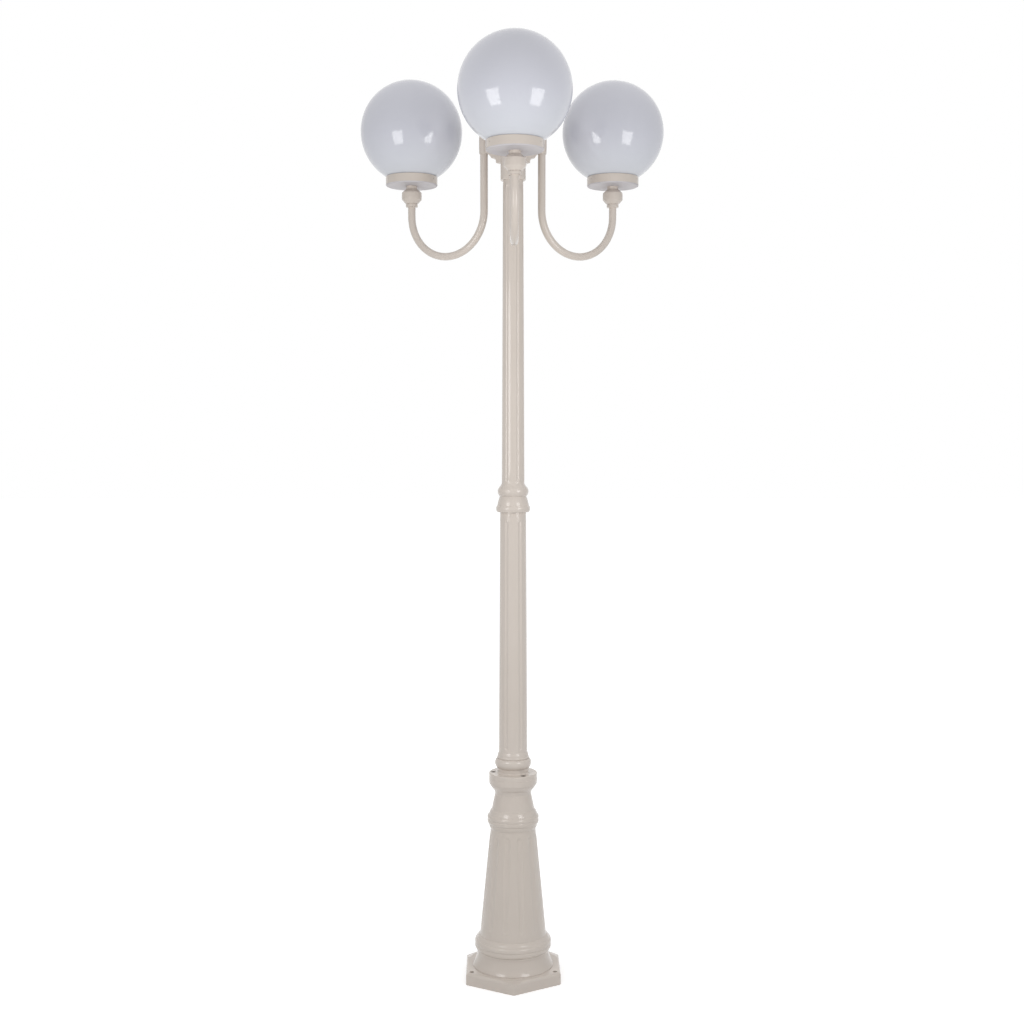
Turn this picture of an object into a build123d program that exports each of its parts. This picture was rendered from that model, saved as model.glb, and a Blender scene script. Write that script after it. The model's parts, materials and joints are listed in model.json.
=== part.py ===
from build123d import *
import os
from math import cos, hypot, radians, sin, sqrt

# A garden lamp post with three opal globes on swan-neck arms.
# Millimetres, +Z up, origin at the centre of the foot's underside, front globe towards -Y.
# Lengths run up the post one after another, and the heights further down are worked out from them.

# ---------------------------------------------------------------- whole post
globe_diameter = 300.0
head_reach = 345.0
front_angle = 270.0
head_spacing_angle = 120.0
head_turns = {
    "front": front_angle,
    "left": front_angle - head_spacing_angle,
    "right": front_angle + head_spacing_angle,
}

# fits
slip_fit = 0.15
thread_fit = 0.1
touch_clearance = 0.35

# ---------------------------------------------------------------- pedestal
plate_across_flats = 274.0
plate_thickness = 34.5
plate_corner_radius = 10.0
plate_edge_radius = 8.0
anchor_corner_distance = 19.2
anchor_hole_diameter = 13.0
anchor_turns = (90.0, 210.0, 330.0)
corner_facet_turns = (30.0, 150.0, 270.0)
corner_facet_length = 23.0
corner_facet_drop = 7.0

skirt_step_length = 2.0
skirt_foot_radius = 118.0
skirt_length = 41.5
skirt_top_radius = 103.3
skirt_hollow = 2.8
base_step_length = 5.0
base_step_radius = 105.5
base_bead_length = 32.5
base_bead_bulge = 4.2
base_shoulder_length = 11.0
body_foot_radius = 96.5
body_foot_bulge = 1.2
body_length = 313.5
body_top_radius = 65.9
body_line_length = 13.5
body_line_radius = 66.6
body_line_bulge = 1.2
neck_ring_length = 27.5
neck_ring_radius = 70.8
neck_ring_bulge = 3.3
neck_shoulder_length = 16.0
neck_foot_radius = 62.5
neck_foot_bulge = 0.9
neck_length = 45.5
neck_top_radius = 53.0
neck_cove_length = 12.5
neck_cove_radius = 57.0
neck_cove_hollow = 0.3

flange_ogee_length = 16.5
flange_ogee_foot_radius = 58.3
flange_ogee_bulge = 1.3
flange_line_step = 1.6
flange_radius = 70.9
flange_thickness = 17.0
flange_edge = 0.8
flange_swell = 0.8
flange_side_bulge = 0.4

pedestal_wall = 8.5
neck_cavity_wall = 10.5
cable_bore_taper = 12.5
cable_bore_radius = 28.0
cable_bore_web = 12.5

body_flute_count = 12
body_flute_half_width = 11.5
body_flute_depth = 2.4
body_flute_low_margin = 22.5
body_flute_high_margin = 15.0

# ---------------------------------------------------------------- lower pole
foot_step = 0.4
foot_thickness = 14.5
foot_edge = 2.6
foot_edge_bulge = 0.7
foot_screw_inset = 13.0
foot_screw_turns = (60.0, 180.0, 300.0)
foot_screw_head_radius = 7.5
foot_screw_head_height = 3.8
foot_screw_radius = 4.0
foot_screw_length = 26.0
foot_screw_sink = 0.8
foot_screw_key = 5.0
foot_screw_key_depth = 3.0
foot_screw_hole_end = 2.0

lower_waist_length = 13.5
lower_waist_radius = 45.0
lower_torus_length = 28.5
lower_torus_foot_radius = 45.8
lower_torus_radius = 48.0
lower_torus_bulge = 6.3
lower_bead_length = 7.5
lower_bead_radius = 45.6
lower_bead_top_radius = 45.1
lower_bead_bulge = 1.3
lower_flare_length = 12.0
lower_flare_bulge = 0.8
lower_waist_cove = 4.5
lower_waist_cove_hollow = 0.8
lower_pole_foot_radius = 41.5
lower_pole_length = 685.5
lower_pole_top_radius = 37.7
coupling_groove_length = 12.5
coupling_ring_length = 18.5
coupling_ring_radius = 46.5
coupling_ring_bulge = 2.9
coupling_cone_length = 26.5
coupling_cone_radius = 45.9
coupling_cone_bulge = 0.8
coupling_waist_radius = 38.3

lower_pole_wall = 6.2
sleeve_radius = 26.3
sleeve_wall = 3.0
sleeve_lower_length = 76.5
sleeve_upper_length = 83.5
sleeve_stop_thickness = 6.0

lower_flute_count = 6
lower_flute_half_width = 6.6
lower_flute_depth = 2.0
lower_flute_low_margin = 9.5
lower_flute_high_margin = 11.0

# ---------------------------------------------------------------- upper pole
bulb_step_length = 1.3
bulb_length = 25.5
bulb_radius = 39.6
bulb_bulge = 4.9
upper_flare_length = 11.3
upper_flare_hollow = 0.8
upper_pole_foot_radius = 32.5
upper_pole_length = 861.4
upper_pole_top_radius = 28.9
upper_bore_step = 0.8
spigot_step = 2.0
spigot_length = 67.0

upper_pole_turn = -5.0
upper_flute_count = 6
upper_flute_half_width = 5.3
upper_flute_depth = 1.6
upper_flute_low_margin = 3.0
upper_flute_high_margin = 15.0

# ---------------------------------------------------------------- bracket
hub_radius = 36.0
hub_length = 140.0
hub_edge = 2.0
hub_bore_radius = 20.0
web_width = 20.0
web_root_depth = 8.0
corbel_low_reach = 50.5
corbel_low_drop = 30.0
corbel_mid_step = 5.0
corbel_mid_width = 10.2
corbel_mid_drop = 15.0
corbel_hollow = 1.6
boss_length = 57.0
boss_crown = 3.5
boss_reach = 96.0
boss_radius = 13.5
boss_bulge = 0.7
boss_edge = 2.0
wire_way_radius = 6.0
wire_way_rise = 10.0
wire_pocket_radius = 8.0
wire_pocket_length = 22.0

hub_screw_turns = [-106.4 + 90.0 * step for step in range(4)]
hub_screw_rise = 10.0
hub_screw_radius = 3.0
hub_screw_recess = 0.5
hub_screw_key = 3.0
hub_screw_key_depth = 3.0

arm_screw_rise = 12.0
arm_screw_radius = 2.0
arm_screw_key = 2.0
arm_screw_key_depth = 1.6
arm_screw_recess = 0.3

cap_overhang = 1.8
cap_edge_length = 3.0
cap_dome_length = 16.0
cap_spigot_depth = 6.0
cap_wall = 3.0
cap_screw_turns = (90.0, 210.0, 330.0)
cap_screw_radius = 2.0
cap_screw_head_radius = 3.6
cap_screw_head_height = 2.4
cap_screw_length = 14.0
cap_screw_seat = 5.0
cap_screw_slot = 1.0

# ---------------------------------------------------------------- arms
arm_tube_radius = 11.0
arm_tube_wall = 1.5
arm_grip_length = 24.0
arm_drop_length = 159.0
arm_outer_leg = 61.5

# ---------------------------------------------------------------- heads
joint_grip_length = 33.0
joint_ring_length = 7.5
joint_ring_radius = 17.6
joint_groove_length = 2.5
joint_groove_radius = 15.8
joint_cone_length = 11.5
joint_cone_radius = 18.6
joint_knob_length = 20.5
joint_knob_radius = 29.2
joint_knob_bulge = 0.5
joint_shoulder_length = 8.0
joint_top_radius = 20.7
joint_pocket_length = 5.5
joint_pocket_radius = 8.0

neck_flare_length = 6.0
neck_flare_radius = 21.2
neck_flare_hollow = 1.2
neck_waist_length = 5.5
neck_waist_radius = 16.2
base_disc_thickness = 3.5
base_disc_step = 0.5
base_disc_edge = 3.0

globe_wall = 3.0
globe_neck_radius = 68.0
globe_neck_length = 15.8
gallery_gap = 5.0
gallery_wall = 3.5
gallery_floor = 3.0
gallery_lip = 1.0
gallery_seat_width = 1.6
gallery_rim_gap = 0.9
gasket_overlap = 4.0
gasket_thickness = 2.0
globe_screw_turns = (90.0, 210.0, 330.0)
globe_screw_radius = 2.0
globe_screw_key = 2.0
globe_screw_key_depth = 2.0
globe_screw_recess = 0.3

nipple_radius = 5.0
nipple_bore_radius = 3.6
nipple_setback = 1.0
nipple_in_holder = 10.5
nut_across_flats = 17.0
nut_thickness = 5.0
holder_foot_radius = 17.0
holder_shoulder_length = 13.5
holder_web = 6.0
holder_cup_depth = 35.0
holder_wall = 6.5
holder_edge = 1.5
shell_thickness = 0.65
shell_length = 30.0
contact_radius = 4.0
contact_thickness = 1.5

lamp_cap_radius = 13.0
lamp_cap_length = 25.0
lamp_button_radius = 4.5
lamp_button_length = 2.0
lamp_neck_step = 0.6
lamp_bulb_radius = 30.0
lamp_length = 106.0
lamp_glass_wall = 1.0

# ---------------------------------------------------------------- heights, from the ground up
skirt_foot_height = plate_thickness + skirt_step_length
skirt_top_height = skirt_foot_height + skirt_length
base_step_height = skirt_top_height + base_step_length
base_bead_height = base_step_height + base_bead_length
body_foot_height = base_bead_height + base_shoulder_length
body_top_height = body_foot_height + body_length
body_line_height = body_top_height + body_line_length
neck_ring_height = body_line_height + neck_ring_length
neck_foot_height = neck_ring_height + neck_shoulder_length
neck_top_height = neck_foot_height + neck_length
neck_cove_height = neck_top_height + neck_cove_length
flange_bottom_height = neck_cove_height + flange_ogee_length
flange_top_height = flange_bottom_height + flange_thickness
cable_bore_height = flange_bottom_height - cable_bore_web

foot_top_height = flange_top_height + foot_thickness
foot_screw_top = foot_top_height - foot_screw_sink
foot_screw_tip = foot_screw_top - foot_screw_length
lower_torus_height = foot_top_height + lower_waist_length
lower_bead_height = lower_torus_height + lower_torus_length
lower_flare_height = lower_bead_height + lower_bead_length
lower_pole_foot_height = lower_flare_height + lower_flare_length
lower_pole_top_height = lower_pole_foot_height + lower_pole_length
coupling_ring_low = lower_pole_top_height + coupling_groove_length
coupling_ring_high = coupling_ring_low + coupling_ring_length
parting_height = coupling_ring_high + coupling_cone_length
sleeve_bottom_height = parting_height - sleeve_lower_length
sleeve_top_height = parting_height + sleeve_upper_length

bulb_low = parting_height + bulb_step_length
bulb_high = bulb_low + bulb_length
upper_pole_foot_height = bulb_high + upper_flare_length
upper_pole_top_height = upper_pole_foot_height + upper_pole_length
spigot_top_height = upper_pole_top_height + spigot_length

hub_top_height = upper_pole_top_height + hub_length
hub_screw_height = upper_pole_top_height + hub_screw_rise
boss_top_height = hub_top_height + boss_crown
boss_bottom_height = hub_top_height - boss_length
corbel_low_height = boss_bottom_height - corbel_low_drop
corbel_mid_height = boss_bottom_height - corbel_mid_drop
arm_screw_height = boss_bottom_height + arm_screw_rise
arm_tube_inner_end = boss_bottom_height + arm_grip_length
wire_way_height = arm_tube_inner_end + wire_way_rise
wire_pocket_top_height = arm_tube_inner_end + wire_pocket_length
cap_rim_height = hub_top_height + cap_edge_length
cap_top_height = cap_rim_height + cap_dome_length
cap_screw_seat_height = hub_top_height + cap_screw_seat

arm_bend_height = boss_bottom_height - arm_drop_length
arm_tube_outer_end = arm_bend_height + arm_outer_leg
joint_foot_height = arm_tube_outer_end - joint_grip_length
joint_ring_height = joint_foot_height + joint_ring_length
joint_cone_height = joint_ring_height + joint_groove_length
joint_knob_low = joint_cone_height + joint_cone_length
joint_knob_high = joint_knob_low + joint_knob_length
joint_top_height = joint_knob_high + joint_shoulder_length
joint_pocket_height = arm_tube_outer_end + joint_pocket_length

neck_waist_height = joint_top_height + neck_flare_length
base_disc_bottom = neck_waist_height + neck_waist_length
base_disc_top = base_disc_bottom + base_disc_thickness
gallery_floor_top = base_disc_top + gallery_floor
gasket_top = gallery_floor_top + gasket_thickness
globe_shoulder = gasket_top + globe_neck_length
globe_screw_height = gasket_top + globe_neck_length / 2

# ---------------------------------------------------------------- radii and seats that follow others
plate_corner_reach = plate_across_flats / sqrt(3)
anchor_circle_radius = plate_corner_reach - anchor_corner_distance
corner_facet_start = plate_corner_reach - corner_facet_length
foot_radius = flange_radius - foot_step
foot_screw_circle_radius = foot_radius - foot_screw_inset
lower_bore_radius = lower_pole_top_radius - lower_pole_wall
sleeve_bore_radius = sleeve_radius - sleeve_wall
upper_bore_radius = sleeve_bore_radius - upper_bore_step
spigot_radius = upper_pole_top_radius - spigot_step
web_root_radius = hub_radius - web_root_depth
corbel_mid_start = corbel_low_reach + corbel_mid_step
corbel_mid_reach = corbel_mid_start + corbel_mid_width
cap_radius = hub_radius + cap_overhang
cap_screw_circle_radius = (hub_bore_radius + hub_radius) / 2
arm_screw_tip_reach = arm_tube_radius - arm_tube_wall + touch_clearance

globe_radius = globe_diameter / 2
globe_hollow_radius = globe_radius - globe_wall
globe_bore_radius = globe_neck_radius - globe_wall
globe_centre_height = globe_shoulder + sqrt(globe_radius**2 - globe_neck_radius**2)
globe_inner_shoulder = globe_centre_height - sqrt(globe_hollow_radius**2 - globe_bore_radius**2)
gallery_inner_radius = globe_neck_radius + gallery_gap
gallery_radius = gallery_inner_radius + gallery_wall
gallery_mouth_radius = gallery_inner_radius + gallery_seat_width
globe_rim_height = globe_centre_height - sqrt(globe_radius**2 - gallery_mouth_radius**2)
gallery_top_height = globe_rim_height - gallery_rim_gap
gasket_inner_radius = globe_bore_radius - gasket_overlap
gasket_outer_radius = globe_neck_radius + gasket_overlap
base_disc_radius = gallery_radius - base_disc_step
globe_screw_tip = globe_neck_radius + touch_clearance
globe_screw_head = gallery_radius - globe_screw_recess

nipple_bottom = joint_pocket_height + nipple_setback
holder_foot_height = gallery_floor_top + nut_thickness
nipple_top = holder_foot_height + nipple_in_holder
holder_shoulder_height = holder_foot_height + holder_shoulder_length
holder_floor_height = nipple_top + holder_web
holder_top_height = holder_floor_height + holder_cup_depth
shell_inner_radius = lamp_cap_radius + touch_clearance
shell_outer_radius = shell_inner_radius + shell_thickness
holder_radius = shell_outer_radius + holder_wall
contact_top = holder_floor_height + contact_thickness
lamp_foot_height = contact_top + slip_fit
lamp_shoulder = lamp_foot_height + lamp_button_length
lamp_cap_top = lamp_shoulder + lamp_cap_length
lamp_neck_radius = lamp_cap_radius - lamp_neck_step
lamp_bulb_centre = lamp_foot_height + lamp_length - lamp_bulb_radius

cutter_align = (Align.CENTER, Align.CENTER, Align.MIN)

os.makedirs("parts", exist_ok=True)


def save(piece, node):
    """Name a finished piece and write it to its own file."""
    piece.part.label = node
    export_step(piece.part, f"parts/{node}.step")


def bulge(low, high, depth):
    """Arc from one outline point to the next that stands out by depth at its middle."""
    run = hypot(high[0] - low[0], high[1] - low[1])
    out = ((high[1] - low[1]) / run, (low[0] - high[0]) / run)
    middle = ((low[0] + high[0]) / 2 + out[0] * depth, (low[1] + high[1]) / 2 + out[1] * depth)
    return ThreePointArc(low, middle, high)


def around(turn, radius, height):
    """Point at a turn, a radius and a height about the post's axis."""
    return Vector(radius * cos(radians(turn)), radius * sin(radians(turn)), height)


def radial_section(turn, radius=0.0):
    """Upright plane at a turn: local x runs outwards from the given radius, local y runs up."""
    outwards = (cos(radians(turn)), sin(radians(turn)), 0)
    sideways = (sin(radians(turn)), -cos(radians(turn)), 0)
    return Plane(origin=around(turn, radius, 0), x_dir=outwards, z_dir=sideways)


def upright(turn, radius):
    """The vertical axis at a turn and a radius."""
    return Axis(around(turn, radius, 0), (0, 0, 1))


def level_plane(turn, radius, height):
    """Level plane centred at a turn and a radius, with local x outwards."""
    outwards = (cos(radians(turn)), sin(radians(turn)), 0)
    return Plane(origin=around(turn, radius, height), x_dir=outwards, z_dir=(0, 0, 1))


def drill_plane(centre, turn, reach):
    """Plane across a radial screw, at a reach from a vertical axis, facing that axis."""
    outwards = Vector(cos(radians(turn)), sin(radians(turn)), 0)
    return Plane(origin=centre + outwards * reach, z_dir=-outwards)


def fluting(low, high, count, half_width, depth, turned=0.0):
    """Round-ended cutters for flutes that narrow with their shaft, set evenly about its front.

    low and high are (radius, height) on the shaft's side; half_width and depth are those at low.
    """
    narrowing = high[0] / low[0]
    cutter = (half_width**2 + depth**2) / (2 * depth)
    stand_off = cutter - depth
    spacing = 360 / count
    with BuildPart() as cutters:
        for step in range(count):
            turn = front_angle + turned + (step + 0.5) * spacing
            bottom = around(turn, low[0] + stand_off, low[1] + half_width)
            top = around(turn, high[0] + stand_off * narrowing, high[1] - half_width * narrowing)
            with Locations(Plane(origin=bottom, z_dir=top - bottom)):
                Cone(cutter, cutter * narrowing, (top - bottom).length, align=cutter_align)
            with Locations(bottom):
                Sphere(cutter)
            with Locations(top):
                Sphere(cutter * narrowing)
    return cutters.part


def on_line(low, high, height):
    """(radius, height) on the straight side that runs from low to high."""
    share = (height - low[1]) / (high[1] - low[1])
    return (low[0] + (high[0] - low[0]) * share, height)


# ---------------------------------------------------------------- pedestal casting
body_foot = (body_foot_radius, body_foot_height)
body_top = (body_top_radius, body_top_height)
pedestal_flutes = fluting(
    on_line(body_foot, body_top, body_foot_height + body_flute_low_margin),
    on_line(body_foot, body_top, body_top_height - body_flute_high_margin),
    body_flute_count,
    body_flute_half_width,
    body_flute_depth,
)

with BuildPart() as pedestal:
    with BuildSketch():
        RegularPolygon(plate_across_flats / 2, side_count=6, major_radius=False, rotation=30)
        fillet(vertices(), plate_corner_radius)
    extrude(amount=plate_thickness)
    fillet(faces().sort_by(Axis.Z)[-1].edges(), plate_edge_radius)
    for turn in corner_facet_turns:
        with BuildSketch(radial_section(turn)):
            Polygon(
                (corner_facet_start, plate_thickness),
                (plate_corner_reach, plate_thickness - corner_facet_drop),
                (plate_corner_reach, plate_thickness),
                align=None,
            )
        extrude(amount=plate_across_flats / 2, both=True, mode=Mode.SUBTRACT)
    with BuildSketch(Plane.XZ):
        with BuildLine():
            Polyline((0, 0), (skirt_foot_radius, 0), (skirt_foot_radius, skirt_foot_height))
            bulge((skirt_foot_radius, skirt_foot_height), (skirt_top_radius, skirt_top_height), -skirt_hollow)
            Polyline(
                (skirt_top_radius, skirt_top_height),
                (base_step_radius, skirt_top_height),
                (base_step_radius, base_step_height),
            )
            bulge((base_step_radius, base_step_height), (base_step_radius, base_bead_height), base_bead_bulge)
            bulge((base_step_radius, base_bead_height), body_foot, body_foot_bulge)
            Polyline(body_foot, body_top, (body_line_radius, body_top_height))
            bulge((body_line_radius, body_top_height), (neck_ring_radius, body_line_height), body_line_bulge)
            bulge((neck_ring_radius, body_line_height), (neck_ring_radius, neck_ring_height), neck_ring_bulge)
            bulge((neck_ring_radius, neck_ring_height), (neck_foot_radius, neck_foot_height), neck_foot_bulge)
            Line((neck_foot_radius, neck_foot_height), (neck_top_radius, neck_top_height))
            bulge(
                (neck_top_radius, neck_top_height),
                (neck_cove_radius, neck_cove_height),
                -neck_cove_hollow,
            )
            Line((neck_cove_radius, neck_cove_height), (flange_ogee_foot_radius, neck_cove_height))
            bulge(
                (flange_ogee_foot_radius, neck_cove_height),
                (flange_radius - flange_swell - flange_line_step, flange_bottom_height),
                flange_ogee_bulge,
            )
            Line(
                (flange_radius - flange_swell - flange_line_step, flange_bottom_height),
                (flange_radius - flange_swell, flange_bottom_height),
            )
            bulge(
                (flange_radius - flange_swell, flange_bottom_height),
                (flange_radius, flange_top_height - flange_edge),
                flange_side_bulge,
            )
            Polyline(
                (flange_radius, flange_top_height - flange_edge),
                (flange_radius - flange_edge, flange_top_height),
                (0, flange_top_height),
                (0, 0),
            )
        make_face()
    revolve(axis=Axis.Z)
    add(pedestal_flutes, mode=Mode.SUBTRACT)
    with BuildSketch(Plane.XZ):
        with BuildLine():
            Polyline(
                (0, 0),
                (body_foot_radius - pedestal_wall, 0),
                (body_foot_radius - pedestal_wall, body_foot_height),
                (body_top_radius - pedestal_wall, body_top_height),
                (neck_top_radius - neck_cavity_wall, cable_bore_height - cable_bore_taper),
                (cable_bore_radius, cable_bore_height),
                (cable_bore_radius, flange_top_height),
                (0, flange_top_height),
                close=True,
            )
        make_face()
    revolve(axis=Axis.Z, mode=Mode.SUBTRACT)
    for turn in anchor_turns:
        with BuildSketch(level_plane(turn, anchor_circle_radius, 0)):
            Circle(anchor_hole_diameter / 2)
        extrude(amount=plate_thickness, mode=Mode.SUBTRACT)
    for turn in foot_screw_turns:
        with BuildSketch(level_plane(turn, foot_screw_circle_radius, flange_top_height)):
            Circle(foot_screw_radius + thread_fit)
        extrude(amount=foot_screw_tip - foot_screw_hole_end - flange_top_height, mode=Mode.SUBTRACT)
save(pedestal, "pedestal")

# ---------------------------------------------------------------- lower pole casting
lower_foot = (lower_pole_foot_radius, lower_pole_foot_height)
lower_top = (lower_pole_top_radius, lower_pole_top_height)
lower_pole_flutes = fluting(
    on_line(lower_foot, lower_top, lower_pole_foot_height + lower_flute_low_margin),
    on_line(lower_foot, lower_top, lower_pole_top_height - lower_flute_high_margin),
    lower_flute_count,
    lower_flute_half_width,
    lower_flute_depth,
)

with BuildPart() as lower_pole:
    with BuildSketch(Plane.XZ):
        with BuildLine():
            Polyline(
                (0, flange_top_height),
                (foot_radius, flange_top_height),
                (foot_radius, foot_top_height - foot_edge),
            )
            bulge(
                (foot_radius, foot_top_height - foot_edge),
                (foot_radius - foot_edge, foot_top_height),
                foot_edge_bulge,
            )
            Line(
                (foot_radius - foot_edge, foot_top_height),
                (lower_waist_radius + lower_waist_cove, foot_top_height),
            )
            bulge(
                (lower_waist_radius + lower_waist_cove, foot_top_height),
                (lower_waist_radius, foot_top_height + lower_waist_cove),
                -lower_waist_cove_hollow,
            )
            Polyline(
                (lower_waist_radius, foot_top_height + lower_waist_cove),
                (lower_waist_radius, lower_torus_height),
                (lower_torus_foot_radius, lower_torus_height),
            )
            bulge(
                (lower_torus_foot_radius, lower_torus_height),
                (lower_torus_radius, lower_bead_height),
                lower_torus_bulge,
            )
            Line((lower_torus_radius, lower_bead_height), (lower_bead_radius, lower_bead_height))
            bulge(
                (lower_bead_radius, lower_bead_height),
                (lower_bead_top_radius, lower_flare_height),
                lower_bead_bulge,
            )
            bulge((lower_bead_top_radius, lower_flare_height), lower_foot, lower_flare_bulge)
            Polyline(
                lower_foot,
                lower_top,
                (lower_pole_top_radius, coupling_ring_low),
                (coupling_ring_radius, coupling_ring_low),
            )
            bulge(
                (coupling_ring_radius, coupling_ring_low),
                (coupling_ring_radius, coupling_ring_high),
                coupling_ring_bulge,
            )
            Line((coupling_ring_radius, coupling_ring_high), (coupling_cone_radius, coupling_ring_high))
            bulge(
                (coupling_cone_radius, coupling_ring_high),
                (coupling_waist_radius, parting_height),
                coupling_cone_bulge,
            )
            Polyline((coupling_waist_radius, parting_height), (0, parting_height), (0, flange_top_height))
        make_face()
    revolve(axis=Axis.Z)
    add(lower_pole_flutes, mode=Mode.SUBTRACT)
    with BuildSketch(Plane.XZ):
        with BuildLine():
            Polyline(
                (0, flange_top_height),
                (lower_bore_radius, flange_top_height),
                (lower_bore_radius, sleeve_bottom_height - sleeve_stop_thickness),
                (sleeve_bore_radius, sleeve_bottom_height - sleeve_stop_thickness),
                (sleeve_bore_radius, sleeve_bottom_height),
                (sleeve_radius + thread_fit, sleeve_bottom_height),
                (sleeve_radius + thread_fit, parting_height),
                (0, parting_height),
                close=True,
            )
        make_face()
    revolve(axis=Axis.Z, mode=Mode.SUBTRACT)
    for turn in foot_screw_turns:
        with BuildSketch(level_plane(turn, foot_screw_circle_radius, flange_top_height)):
            Circle(foot_screw_radius + slip_fit)
        extrude(amount=foot_thickness, mode=Mode.SUBTRACT)
        with BuildSketch(level_plane(turn, foot_screw_circle_radius, foot_screw_top)):
            Circle(foot_screw_head_radius + slip_fit)
        extrude(amount=foot_screw_sink, mode=Mode.SUBTRACT)
        with BuildSketch(level_plane(turn, foot_screw_circle_radius, foot_screw_top)):
            Circle(foot_screw_head_radius + slip_fit)
        with BuildSketch(
            level_plane(turn, foot_screw_circle_radius, foot_screw_top - foot_screw_head_height)
        ):
            Circle(foot_screw_radius + slip_fit)
        loft(mode=Mode.SUBTRACT)
save(lower_pole, "lower_pole")

with BuildPart() as foot_screws:
    for turn in foot_screw_turns:
        with BuildSketch(level_plane(turn, foot_screw_circle_radius, foot_screw_tip)):
            Circle(foot_screw_radius)
        extrude(amount=foot_screw_length - foot_screw_head_height)
        with BuildSketch(
            level_plane(turn, foot_screw_circle_radius, foot_screw_top - foot_screw_head_height)
        ):
            Circle(foot_screw_radius)
        with BuildSketch(level_plane(turn, foot_screw_circle_radius, foot_screw_top)):
            Circle(foot_screw_head_radius)
        loft()
        with BuildSketch(level_plane(turn, foot_screw_circle_radius, foot_screw_top)):
            RegularPolygon(foot_screw_key / 2, side_count=6, major_radius=False)
        extrude(amount=-foot_screw_key_depth, mode=Mode.SUBTRACT)
save(foot_screws, "foot_screws")

# ---------------------------------------------------------------- threaded sleeve inside the pole joint
with BuildPart() as joint_sleeve:
    with BuildSketch(Plane.XY.offset(sleeve_bottom_height)):
        Circle(sleeve_radius)
        Circle(sleeve_bore_radius, mode=Mode.SUBTRACT)
    extrude(amount=sleeve_top_height - sleeve_bottom_height)
save(joint_sleeve, "joint_sleeve")

# ---------------------------------------------------------------- upper pole casting
upper_foot = (upper_pole_foot_radius, upper_pole_foot_height)
upper_top = (upper_pole_top_radius, upper_pole_top_height)
upper_pole_flutes = fluting(
    on_line(upper_foot, upper_top, upper_pole_foot_height + upper_flute_low_margin),
    on_line(upper_foot, upper_top, upper_pole_top_height - upper_flute_high_margin),
    upper_flute_count,
    upper_flute_half_width,
    upper_flute_depth,
    upper_pole_turn,
)

with BuildPart() as upper_pole:
    with BuildSketch(Plane.XZ):
        with BuildLine():
            Polyline((0, parting_height), (coupling_waist_radius, parting_height), (bulb_radius, bulb_low))
            bulge((bulb_radius, bulb_low), (bulb_radius, bulb_high), bulb_bulge)
            bulge((bulb_radius, bulb_high), upper_foot, -upper_flare_hollow)
            Polyline(
                upper_foot,
                upper_top,
                (spigot_radius, upper_pole_top_height),
                (spigot_radius, spigot_top_height),
                (0, spigot_top_height),
                (0, parting_height),
            )
        make_face()
    revolve(axis=Axis.Z)
    add(upper_pole_flutes, mode=Mode.SUBTRACT)
    with BuildSketch(Plane.XZ):
        with BuildLine():
            Polyline(
                (0, parting_height),
                (sleeve_radius + thread_fit, parting_height),
                (sleeve_radius + thread_fit, sleeve_top_height),
                (upper_bore_radius, sleeve_top_height),
                (upper_bore_radius, spigot_top_height),
                (0, spigot_top_height),
                close=True,
            )
        make_face()
    revolve(axis=Axis.Z, mode=Mode.SUBTRACT)
save(upper_pole, "upper_pole")

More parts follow.
